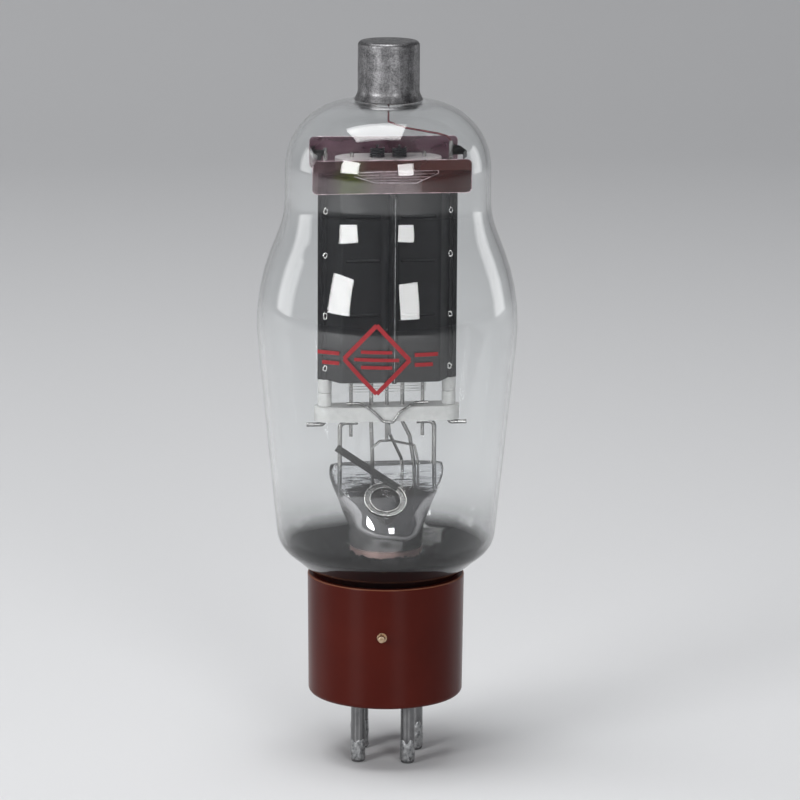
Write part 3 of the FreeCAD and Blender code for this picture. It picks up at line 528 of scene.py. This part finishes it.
GLASS = clear_glass()
STEM = stem_glass()
SHEET = charcoal_sheet()
NICKEL = nickel("nickel_wire", 0.32)
FINE_WIRE = nickel("grid_wire_metal", 0.4, 0.3, 0.0)
GETTER = nickel("getter_strip", 0.14, 0.25, 0.0)
RIBBON = nickel("clip_ribbon", 0.05, 0.15, 0.0)
BRIGHT = nickel("bright_splash", 0.85, 0.25, 0.0)
CERAMIC = white_ceramic()
FRONT_MICA = front_mica()
REAR_MICA = rear_mica()
CLEAR_MICA = clear_mica()
RESIN = red_resin()
CAP = tinned_cap()
CEMENT = plain_cement()
BRASS = worn_brass()
PLATE = pin_plate()
SOLDER = rough_solder()
TUNGSTEN = dark_tungsten()
SPRING = black_spring()
LEAD = red_lead()
FIN_HIGHLIGHT = painted_fin_highlight()
MICA_EDGE_HIGHLIGHT = mica_edge_highlight()
NOTCH_HIGHLIGHT = painted_notch_highlight()
STRAP = nickel("strap_strip", 0.22, 0.12, 0.0)
INK = red_ink()


# Carried-over pieces of the frame

def finish_frame_nodes():
    by_material = {
        SHEET: ["anode_front", "anode_back"],
        NICKEL: ["anode_rod_left", "anode_rod_right", "grid_rod_left", "grid_rod_right", "cap_lead",
                 "centre_post", "centre_support", "support_wire_left", "support_wire_right",
                 "filament_lead_left", "filament_lead_right", "grid_lead", "grid_bridle",
                 "base_wire_left", "base_wire_right", "base_wire_grid"],
        RIBBON: ["mica_clip_left", "mica_clip_right"],
        CERAMIC: ["lower_insulator", "upper_insulator", "bush_left_1", "bush_left_2", "bush_right_1",
                  "bush_right_2"],
        FRONT_MICA: ["front_mica_shield"],
        REAR_MICA: ["rear_mica_shield"],
        CLEAR_MICA: ["mica_spacer"],
        CEMENT: ["base_cement", "cap_cement"],
        BRASS: ["bayonet_pin"],
        PLATE: [n for n in nodes if n.startswith("base_pin_")],
        SOLDER: [n for n in nodes if n.startswith("pin_solder_")],
        TUNGSTEN: ["filament"],
        SPRING: ["filament_hook_left", "filament_hook_right", "filament_spring_left",
                 "filament_spring_right"],
        GETTER: ["getter_ring"],
        STRAP: ["getter_strap"],
        STEM: ["glass_stem", "exhaust_tube"],
        GLASS: ["glass_bulb"],
        RESIN: ["base_shell"],
        CAP: ["top_cap"],
        FINE_WIRE: ["grid_winding"],
    }
    for material, names in by_material.items():
        for name in names:
            dress(nodes[name], material)


# Bulb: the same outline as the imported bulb, turned finely

NECK_RADIUS = 15.4
GLASS_WALL = 1.1
GLASS_SEGMENTS = 256
BULB_PATH = [
    (NECK_RADIUS, base_top - 5.9),
    (NECK_RADIUS, base_top - 0.5),
    (24.2, base_top + 6.7),
    (29.9, base_top + 63.2),
    (22.8, base_top + 81.2),
    (22.8, base_top + 106.0),
    (3.4, base_top + 106.8),
    (3.4, base_top + 113.8),
    (0.5, base_top + 113.8),
]
BULB_ROUNDS = [2.0, 7.0, 45.0, 20.0, 14.8, 1.2, 1.2]
WAVE_DEPTH = 0.05
WAVE_HEIGHT = 22
FILM_SINK = 0.05


def bulb_surface(distance):
    return sampled_path(*offset_path(BULB_PATH, BULB_ROUNDS, distance))


def glass_wobble(radius, height, angle):
    """The slight waves of blown glass, never outside the plain outline."""
    spot = Vector((math.cos(angle), math.sin(angle), height / WAVE_HEIGHT))
    wave = 0.5 + 0.5 * noise.noise(spot * 1.3)
    return radius - WAVE_DEPTH * wave * min(1.0, radius / 10), height


def make_bulb():
    outside = bulb_surface(0)
    inside = bulb_surface(GLASS_WALL)
    bulb = lathe("bulb_glass", outside + inside[::-1], GLASS_SEGMENTS, glass_wobble)
    return keep(bulb, GLASS, "bulb_glass", "glass_bulb")


def part_of_path(path, low, high):
    return [p for p in path if low <= p.y <= high]


def make_films():
    """The metal that the getter left in the bowl's glass wall and on the stem."""
    inner = part_of_path(bulb_surface(GLASS_WALL - FILM_SINK), base_top - 5.2, base_top + 24)
    bowl = lathe("getter_film_bowl", inner, GLASS_SEGMENTS, glass_wobble, closed=False)
    keep(bowl, getter_film("film_bowl", base_top + 6.3, base_top + 9.3, base_top + 23,
                           (0.007, 0.0068, 0.0074)), "getter_metal")
    stem_film()


def smooth_step_value(one, two, before, after, k, t):
    """Cubic blend of one size between two sections, with the slopes of the sections round them."""
    m0 = (two[k] - before[k]) / max(0.01, two[0] - before[0]) * (two[0] - one[0])
    m1 = (after[k] - one[k]) / max(0.01, after[0] - one[0]) * (two[0] - one[0])
    return ((2 * t ** 3 - 3 * t ** 2 + 1) * one[k] + (t ** 3 - 2 * t ** 2 + t) * m0
            + (3 * t ** 2 - 2 * t ** 3) * two[k] + (t ** 3 - t ** 2) * m1)


STEM_RADIUS = 7.8
PRESS_HEIGHT = 17.7
PRESS_HALF_DEPTH = 2.6
PRESS_STAGES = ((0.0, 0.0, 1.0), (0.25, 0.12, 0.92), (0.5, 0.5, 0.55), (0.72, 0.85, 0.18))
PRESS_SHOULDER = 1.8
FILM_REACH = 0.3
FILM_RIPPLE = 0.3
FILM_FOOT = 1.8
FILM_SEGMENTS = 128


def stem_film():
    """Mirror that follows the round stem and the foot of its flattened press."""
    foot = base_top + FILM_FOOT
    half_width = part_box("support_wire_right")[1].x / MM + PRESS_SHOULDER
    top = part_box("glass_stem")[1].z / MM
    rings = [(foot, STEM_RADIUS, STEM_RADIUS)]
    for rise, spread, depth in PRESS_STAGES:
        rings.append((top - PRESS_HEIGHT * (1 - rise), STEM_RADIUS + (half_width - STEM_RADIUS) * spread,
                      PRESS_HALF_DEPTH + (STEM_RADIUS - PRESS_HALF_DEPTH) * depth))
    fine = []
    for i, (one, two) in enumerate(zip(rings, rings[1:])):
        before = rings[max(0, i - 1)]
        after = rings[min(len(rings) - 1, i + 2)]
        for step in range(12):
            t = step / 12
            fine.append((one[0] + (two[0] - one[0]) * t, smooth_step_value(one, two, before, after, 1, t),
                         smooth_step_value(one, two, before, after, 2, t)))
    verts = []
    for z, a, b in fine:
        for i in range(FILM_SEGMENTS):
            angle = 2 * math.pi * i / FILM_SEGMENTS
            spot = Vector((math.cos(angle) * 1.3, math.sin(angle) * 1.3, z / 4.5))
            reach = FILM_REACH + FILM_RIPPLE * noise.noise(spot)
            verts.append(((a + reach) * math.cos(angle) * MM, (b + reach) * math.sin(angle) * MM, z * MM))
    faces = []
    for ring in range(len(fine) - 1):
        low = ring * FILM_SEGMENTS
        high = low + FILM_SEGMENTS
        for i in range(FILM_SEGMENTS):
            j = (i + 1) % FILM_SEGMENTS
            faces.append((low + i, low + j, high + j, high + i))
    mesh = bpy.data.meshes.new("stem_film")
    mesh.from_pydata(verts, [], faces)
    mesh.shade_smooth()
    film = link(bpy.data.objects.new("stem_film", mesh))
    keep(film, stem_mirror(base_top + 4.9, top - 7.0), "getter_metal")


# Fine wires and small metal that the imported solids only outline

def make_grid():
    low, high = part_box("grid_winding")
    half_width = high.x / MM - 0.05
    half_depth = high.y / MM - 0.05
    bottom = low.z / MM + 0.2
    top = high.z / MM - 0.1
    pitch = 0.62
    per_turn = 28
    turns = int((top - bottom) / pitch)
    points = []
    for step in range(turns * per_turn + 1):
        angle = 2 * math.pi * step / per_turn
        c, sn = math.cos(angle), math.sin(angle)
        x = half_width * math.copysign(abs(c) ** 0.42, c)
        y = half_depth * math.copysign(abs(sn) ** 0.62, sn)
        points.append((x, y, bottom + pitch * step / per_turn))
    keep(as_mesh(wire("fine_grid", points, 0.05, sides=0)), FINE_WIRE, "grid_wire", "grid_winding")


def make_springs():
    for word in ("left", "right"):
        low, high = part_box("filament_spring_" + word)
        middle = (low.x + high.x) / 2 / MM
        radius = 1.42
        gauge = 0.25
        turns = 4
        bottom = low.z / MM + gauge
        top = high.z / MM - gauge
        per_turn = 24
        points = []
        for step in range(turns * per_turn + 1):
            angle = 2 * math.pi * step / per_turn
            points.append((middle + radius * math.cos(angle), radius * math.sin(angle),
                           bottom + (top - bottom) * step / (turns * per_turn)))
        spring = as_mesh(wire("coil_" + word, points, gauge, sides=2))
        keep(spring, SPRING, "spring_wire", "filament_spring_" + word)


# Bends of the lead: across, and up from the anode's top
LEAD_BENDS = [(0.0, 11.6), (0.0, 11.6), (1.5, 10.9), (4.0, 10.0), (7.5, 9.3), (11.0, 8.6), (13.0, 8.0),
              (13.8, 7.2)]
LEAD_END_RISE = 5.9


def make_lead():
    """The thin dark-red lead from the cap to the right-hand rod."""
    cap_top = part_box("top_cap")[1].z / MM
    end_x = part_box("cap_lead")[1].x / MM - 0.5
    anode_top = anode_high.z / MM
    points = [(0, 0, cap_top - 1.2)]
    for x, rise in LEAD_BENDS + [(end_x, LEAD_END_RISE)]:
        points.append((x, 0, anode_top + rise))
    curve = as_mesh(wire("lead_wire", points, 0.24))
    keep(curve, LEAD, "rod_metal", "cap_lead")


def make_mica_rims():
    """Painted highlights along the cut edges of the two shields: thin pale lines on their front faces."""
    for name in ("front_mica_shield", "rear_mica_shield"):
        low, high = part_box(name)
        y = low.y / MM
        x0, x1, z0, z1 = low.x / MM, high.x / MM, low.z / MM, high.z / MM
        corner = 1.1
        reach = corner - 0.05
        points = []
        for cx, cz, start in ((x1 - corner, z1 - corner, 0), (x0 + corner, z1 - corner, 90),
                              (x0 + corner, z0 + corner, 180), (x1 - corner, z0 + corner, 270)):
            for step in range(7):
                angle = math.radians(start + 15 * step)
                points.append((cx + reach * math.cos(angle), y, cz + reach * math.sin(angle)))
        rim = as_mesh(wire(name + "_rim", points, 0.07, sides=1, cyclic=True))
        keep(rim, MICA_EDGE_HIGHLIGHT, "mica")


WELD_SHARES = (0.056, 0.31, 0.604, 0.818)
WELD_INSET = 4.05
FLANGE_FACE = 0.93
SPLASH_POINTS = 18


def make_weld_rings():
    """Ragged bright splashes round the spot welds on both flanges."""
    rng = random.Random(7)
    half_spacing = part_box("anode_rod_right")[1].x / MM - WELD_INSET
    low = anode_low.z / MM
    height = (anode_high.z - anode_low.z) / MM
    for side in (-1, 1):
        for front in (-1, 1):
            for share in WELD_SHARES:
                centre = Vector((side * half_spacing, front * FLANGE_FACE, low + height * share))
                points = []
                for i in range(SPLASH_POINTS):
                    angle = 2 * math.pi * i / SPLASH_POINTS
                    reach = 0.5 + rng.uniform(-0.12, 0.16)
                    lift = front * rng.uniform(-0.05, 0.08)
                    points.append((centre.x + reach * 0.8 * math.cos(angle), centre.y + lift,
                                   centre.z + reach * 1.25 * math.sin(angle)))
                ring = as_mesh(wire("weld_ring", points, 0.14, sides=1, cyclic=True))
                keep(ring, BRIGHT, "rod_metal")


# Edges of the getter's ring: inset from its outside, lift over its middle plane, and gauge
GETTER_EDGES = ((0.08, 0.28, 0.09), (1.32, 0.28, 0.06), (0.06, -0.24, 0.07))
GETTER_TILT = math.radians(39.0)


def make_getter_rims():
    """The polished edges of the getter's ring."""
    low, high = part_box("getter_ring")
    centre = (low + high) / 2 / MM
    outer = (high.x - low.x) / 2 / MM
    for inset, lift, gauge in GETTER_EDGES:
        radius = outer - inset
        points = []
        for i in range(72):
            angle = 2 * math.pi * i / 72
            across = radius * math.sin(angle)
            points.append((centre.x + radius * math.cos(angle),
                           centre.y + across * math.cos(GETTER_TILT) - lift * math.sin(GETTER_TILT),
                           centre.z + across * math.sin(GETTER_TILT) + lift * math.cos(GETTER_TILT)))
        rim = as_mesh(wire("getter_rim", points, gauge, sides=1, cyclic=True))
        keep(rim, BRIGHT, "getter_metal")


def make_fin_highlights():
    """Painted highlight: a pale line along the folded edge of each fin, standing for light on the edge."""
    front = anode_low.y / MM + 0.1
    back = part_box("anode_back")[1].y / MM - 0.1
    low = anode_low.z / MM + 1.4
    high = anode_high.z / MM - 3.9
    for y in (front, back):
        points = [(0.0, y, low + (high - low) * i / 40) for i in range(41)]
        keep(as_mesh(wire("fin_edge_highlight", points, 0.12, sides=1)), FIN_HIGHLIGHT, "rod_metal")


# Painted highlights on the front mica for the notch behind it: points across and down from the mica's top
# edge
NOTCH_RUN = [(-8.5, 3.45), (-3.9, 4.95), (5.3, 5.1), (10.1, 3.0)]
NOTCH_TOP_RUN = [(-8.5, 2.75), (-2.0, 2.5), (10.1, 2.4), (10.1, 3.0)]
GRID_GLINTS = [[(-7.6, 3.3), (9.2, 3.1)], [(-6.2, 3.9), (8.2, 3.75)], [(-4.6, 4.5), (6.9, 4.4)]]
MICA_FRONT = 0.04


def make_notch_highlights():
    """Painted highlights: pale lines on the mica's front face that stand for the lit cut edges of the notch
    in the anode's front and for glints of the grid in it.
    """
    low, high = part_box("front_mica_shield")
    y = low.y / MM - MICA_FRONT
    for runs, gauge in (([NOTCH_RUN, NOTCH_TOP_RUN], 0.08), (GRID_GLINTS, 0.035)):
        for run in runs:
            points = [(x, y, high.z / MM - drop) for x, drop in run]
            keep(as_mesh(wire("notch_highlight", points, gauge, sides=1)), NOTCH_HIGHLIGHT, "rod_metal")


LARGE_PIN_RADIUS = 1.8
SMALL_DIP_LEVEL = 5.2
LARGE_DIP_LEVEL = 6.4
DIP_STEP = 0.28


def make_pin_dips():
    """Rough solder on the pins' ends."""
    for name in ("front_left", "front_right", "rear_right", "rear_left"):
        solder_low, solder_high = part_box("pin_solder_" + name)
        middle = (solder_low + solder_high) / 2 / MM
        radius = (solder_high.x - solder_low.x) / 2 / MM + 0.35
        level = SMALL_DIP_LEVEL if radius < LARGE_PIN_RADIUS else LARGE_DIP_LEVEL
        profile = [(0.001, 0.02), (radius - 0.75, 0.03), (radius - 0.3, 0.16), (radius - 0.05, 0.5)]
        z = 0.8
        while z < level:
            profile.append((radius + 0.07, z))
            z += DIP_STEP
        profile.append((radius - 0.04, level + 0.15))
        seed = Vector((middle.x, middle.y, 3.0))

        def rough(r, z, angle):
            spot = Vector((math.cos(angle) * 1.6, math.sin(angle) * 1.6, z * 0.8)) + seed
            edge = 1.2 * noise.noise(Vector((math.cos(angle), math.sin(angle), 0)) * 1.4 + seed)
            lift = edge * max(0.0, (z - 3.0) / (level - 3.0))
            return max(0.001, r + 0.13 * noise.noise(spot) * min(1.0, r)), z + lift

        dip = lathe("dip_" + name, profile, 40, rough, closed=False)
        for vert in dip.data.vertices:
            vert.co.x += middle.x * MM
            vert.co.y += middle.y * MM
            vert.co.z = max(vert.co.z, 0.0)
        keep(weld_axis(dip), SOLDER, "solder", "pin_solder_" + name)


# Printed mark

GLASS_OUTLINE = bulb_surface(0)
MARK_HEIGHT = 97.0
MARK_TURN = math.radians(-102.0)
MARK_HALF_TALL = 7.6
MARK_HALF_WIDE = 7.2
MARK_LINE = 0.95
# Bars in the lozenge: level and half length
MARK_BARS = ((1.7, 3.4), (0.0, 4.9), (-1.7, 3.4))
MARK_BAR_WIDTH = 0.75
# Bands beside it: level, near end and far end
MARK_BANDS = ((1.1, 8.3, 13.6), (-1.1, 8.3, 12.4))
MARK_BAND_WIDTH = 0.85
MARK_STEP = 0.5


def glass_radius(height):
    """Outer radius of the plain outline at a height in millimetres."""
    for one, two in zip(GLASS_OUTLINE, GLASS_OUTLINE[1:]):
        if one.y <= height <= two.y and two.y > one.y:
            return one.x + (two.x - one.x) * (height - one.y) / (two.y - one.y)
    return GLASS_OUTLINE[0].x


def mark_patch(name, outline):
    """A flat outline, in millimetres across and up, laid on the glass as a thin film."""
    mesh = bpy.data.meshes.new(name)
    mesh.from_pydata([(x, y, 0) for x, y in outline], [], [tuple(range(len(outline)))])
    bm = bmesh.new()
    bm.from_mesh(mesh)
    low_x = min(p[0] for p in outline)
    high_x = max(p[0] for p in outline)
    low_y = min(p[1] for p in outline)
    high_y = max(p[1] for p in outline)
    for axis, low, high in ((0, low_x, high_x), (1, low_y, high_y)):
        at = low + MARK_STEP
        while at < high:
            point = [0, 0, 0]
            normal = [0, 0, 0]
            point[axis] = at
            normal[axis] = 1
            geometry = bm.verts[:] + bm.edges[:] + bm.faces[:]
            bmesh.ops.bisect_plane(bm, geom=geometry, plane_co=point, plane_no=normal)
            at += MARK_STEP
    bmesh.ops.triangulate(bm, faces=bm.faces[:])
    bm.to_mesh(mesh)
    bm.free()
    for vert in mesh.vertices:
        height = MARK_HEIGHT + vert.co.y
        radius = glass_radius(height)
        angle = MARK_TURN + vert.co.x / radius
        vert.co = (radius * math.cos(angle) * MM, radius * math.sin(angle) * MM, height * MM)
    mesh.shade_smooth()
    return link(bpy.data.objects.new(name, mesh))


def stroke(points, width):
    """Outline of a band of even width along a closed or open run of points."""
    left = []
    right = []
    for a, b in zip(points, points[1:]):
        length = math.hypot(b[0] - a[0], b[1] - a[1])
        nx, ny = -(b[1] - a[1]) / length * width / 2, (b[0] - a[0]) / length * width / 2
        left += [(a[0] + nx, a[1] + ny), (b[0] + nx, b[1] + ny)]
        right += [(a[0] - nx, a[1] - ny), (b[0] - nx, b[1] - ny)]
    return left + right[::-1]


def make_mark():
    """A plain printed mark: a lozenge with three short bars in it and two bands beside it."""
    corners = [(0, MARK_HALF_TALL), (MARK_HALF_WIDE, 0), (0, -MARK_HALF_TALL), (-MARK_HALF_WIDE, 0)]
    for start, end in zip(corners, corners[1:] + corners[:1]):
        keep(mark_patch("mark_side", stroke([start, end], MARK_LINE)), INK, "bulb_glass")
    for level, half in MARK_BARS:
        bar = stroke([(-half, level), (half, level)], MARK_BAR_WIDTH)
        keep(mark_patch("mark_core", bar), INK, "bulb_glass")
    for side in (-1, 1):
        for level, near, far in MARK_BANDS:
            bar = stroke([(side * near, level), (side * far, level)], MARK_BAND_WIDTH)
            keep(mark_patch("mark_bar", bar), INK, "bulb_glass")


# Camera and studio

def camera():
    """Placed and aimed as the photograph's camera was."""
    focal_pixels = 4164.4
    axis_pixel = 386.8
    distance = 0.9094
    height = 0.2736
    pitch = math.radians(11.885)
    azimuth = math.radians(PHOTO_AZIMUTH)
    roll = math.radians(0.34)
    data = bpy.data.cameras.new("camera")
    data.sensor_width = 36.0
    data.lens = focal_pixels / PHOTO_WIDTH * data.sensor_width
    data.shift_x = (PHOTO_WIDTH / 2 - axis_pixel) / PHOTO_WIDTH
    data.clip_start = 0.05
    data.clip_end = 20
    cam = link(bpy.data.objects.new("camera", data))
    cam.location = (math.sin(azimuth) * distance, -math.cos(azimuth) * distance, height)
    look = Vector((-math.sin(azimuth) * math.cos(pitch), math.cos(azimuth) * math.cos(pitch),
                   -math.sin(pitch)))
    turn = look.to_track_quat("-Z", "Y").to_matrix().to_4x4()
    cam.rotation_euler = (turn @ Matrix.Rotation(roll, 4, "Z")).to_euler()
    bpy.context.scene.camera = cam


LAMP_AIM = Vector((0, 0, 0.11))


def toward(azimuth_deg, elevation_deg, distance):
    """A place round the object: azimuth 0 is the front, positive to +X."""
    azimuth = math.radians(azimuth_deg)
    elevation = math.radians(elevation_deg)
    return LAMP_AIM + distance * Vector((math.cos(elevation) * math.sin(azimuth),
                                         -math.cos(elevation) * math.cos(azimuth), math.sin(elevation)))


def softbox(name, place, width, height, power):
    lamp = bpy.data.lights.new(name, "AREA")
    lamp.shape = "RECTANGLE"
    lamp.size = width
    lamp.size_y = height
    lamp.energy = power
    obj = link(bpy.data.objects.new(name, lamp))
    obj.location = place
    obj.rotation_euler = (LAMP_AIM - Vector(place)).to_track_quat("-Z", "Y").to_euler()
    return obj


PALE = (0.74, 0.745, 0.755)
SWEEP_HALF_WIDTH = 4.0
SWEEP_FRONT = -4.0
SWEEP_BACK = 0.9
SWEEP_BEND = 0.8
SWEEP_TOP = 3.0
SWEEP_STEPS = 16


def make_sweep():
    """Pale floor that bends up into a backdrop."""
    paint = Paint("pale_sweep", PALE, 0.75)
    paint.shader.inputs["Specular IOR Level"].default_value = 0.2
    profile = [(SWEEP_FRONT, 0.0), (SWEEP_BACK, 0.0)]
    for i in range(1, SWEEP_STEPS + 1):
        angle = math.pi / 2 * i / SWEEP_STEPS
        profile.append((SWEEP_BACK + SWEEP_BEND * math.sin(angle), SWEEP_BEND * (1 - math.cos(angle))))
    profile.append((SWEEP_BACK + SWEEP_BEND, SWEEP_TOP))
    verts = []
    for y, z in profile:
        verts += [(-SWEEP_HALF_WIDTH, y, z), (SWEEP_HALF_WIDTH, y, z)]
    faces = [(2 * i, 2 * i + 1, 2 * i + 3, 2 * i + 2) for i in range(len(profile) - 1)]
    mesh = bpy.data.meshes.new("sweep")
    mesh.from_pydata(verts, [], faces)
    mesh.shade_smooth()
    sweep = link(bpy.data.objects.new("sweep", mesh))
    dress(sweep, paint.mat)


def studio():
    """Two window-like softboxes in front, one overhead and a weak one on each side."""
    make_sweep()
    softbox("window_left", toward(-51.5, 14.5, 1.2), 0.42, 0.4, 6.5)
    softbox("window_right", toward(12.5, 14.0, 1.35), 0.4, 0.46, 5.0)
    overhead = softbox("overhead", (-0.235, -0.1, 1.3), 0.92, 0.68, 12.0)
    overhead.rotation_euler = (0, 0, math.radians(PHOTO_AZIMUTH))
    softbox("side_left", toward(-112, 8, 1.3), 0.5, 0.5, 1.6)
    softbox("side_right", toward(112, 6, 1.3), 0.4, 0.5, 1.0)
    dim_world()


def dim_world():
    """Dim even light from all round."""
    world = bpy.data.worlds.new("studio")
    world.use_nodes = True
    light = world.node_tree.nodes["Background"]
    light.inputs["Color"].default_value = (0.75, 0.76, 0.8, 1)
    light.inputs["Strength"].default_value = 0.16
    bpy.context.scene.world = world


# The scene

finish_frame_nodes()
make_bulb()
make_films()
make_grid()
make_springs()
make_lead()
make_mica_rims()
make_weld_rings()
make_getter_rims()
make_fin_highlights()
make_notch_highlights()
make_pin_dips()
make_mark()
camera()
studio()
bpy.context.scene.view_settings.view_transform = "Standard"
